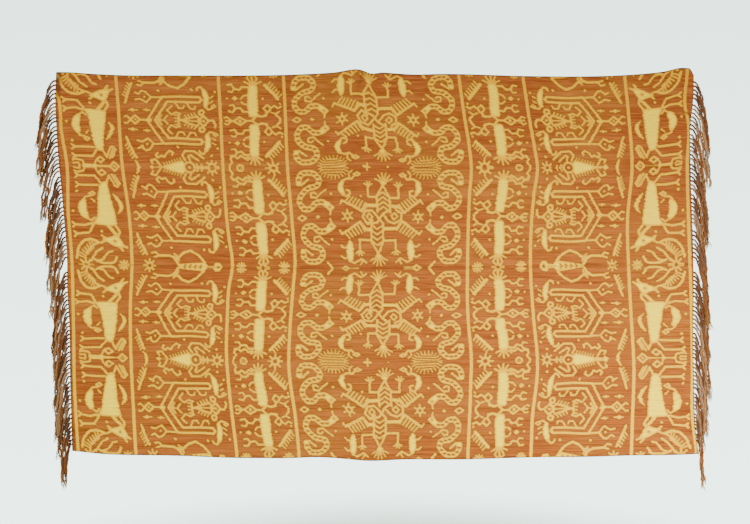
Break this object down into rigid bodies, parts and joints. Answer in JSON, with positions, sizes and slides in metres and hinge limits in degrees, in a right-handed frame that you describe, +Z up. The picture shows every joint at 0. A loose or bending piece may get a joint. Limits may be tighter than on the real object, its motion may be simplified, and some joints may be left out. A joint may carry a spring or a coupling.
{
  "type": "ikat woven hanging cloth",
  "caption": "Large rectangular warp-ikat textile of two woven lengths sewn edge to edge, with a twisted fringe along both short ends, hung flat from its top edge.",
  "frame": {"origin": "middle of the cloth's top edge, where it is held", "axes": "+X along the cloth's length, +Z up, the front faces -Y"},
  "size_m": [2.6971, 0.035, 1.6921],
  "materials": {
    "ikat_weave": "matte handspun cotton, rust ground with straw and gold motifs",
    "twisted_warp": "matte twisted cotton warp ends, brown and rust"
  },
  "bodies": {
    "root": {"panel_upper": "ikat_weave", "panel_lower": "ikat_weave", "fringe_upper_left": "twisted_warp", "fringe_lower_left": "twisted_warp", "fringe_upper_right": "twisted_warp", "fringe_lower_right": "twisted_warp"}
  },
  "joints": []
}
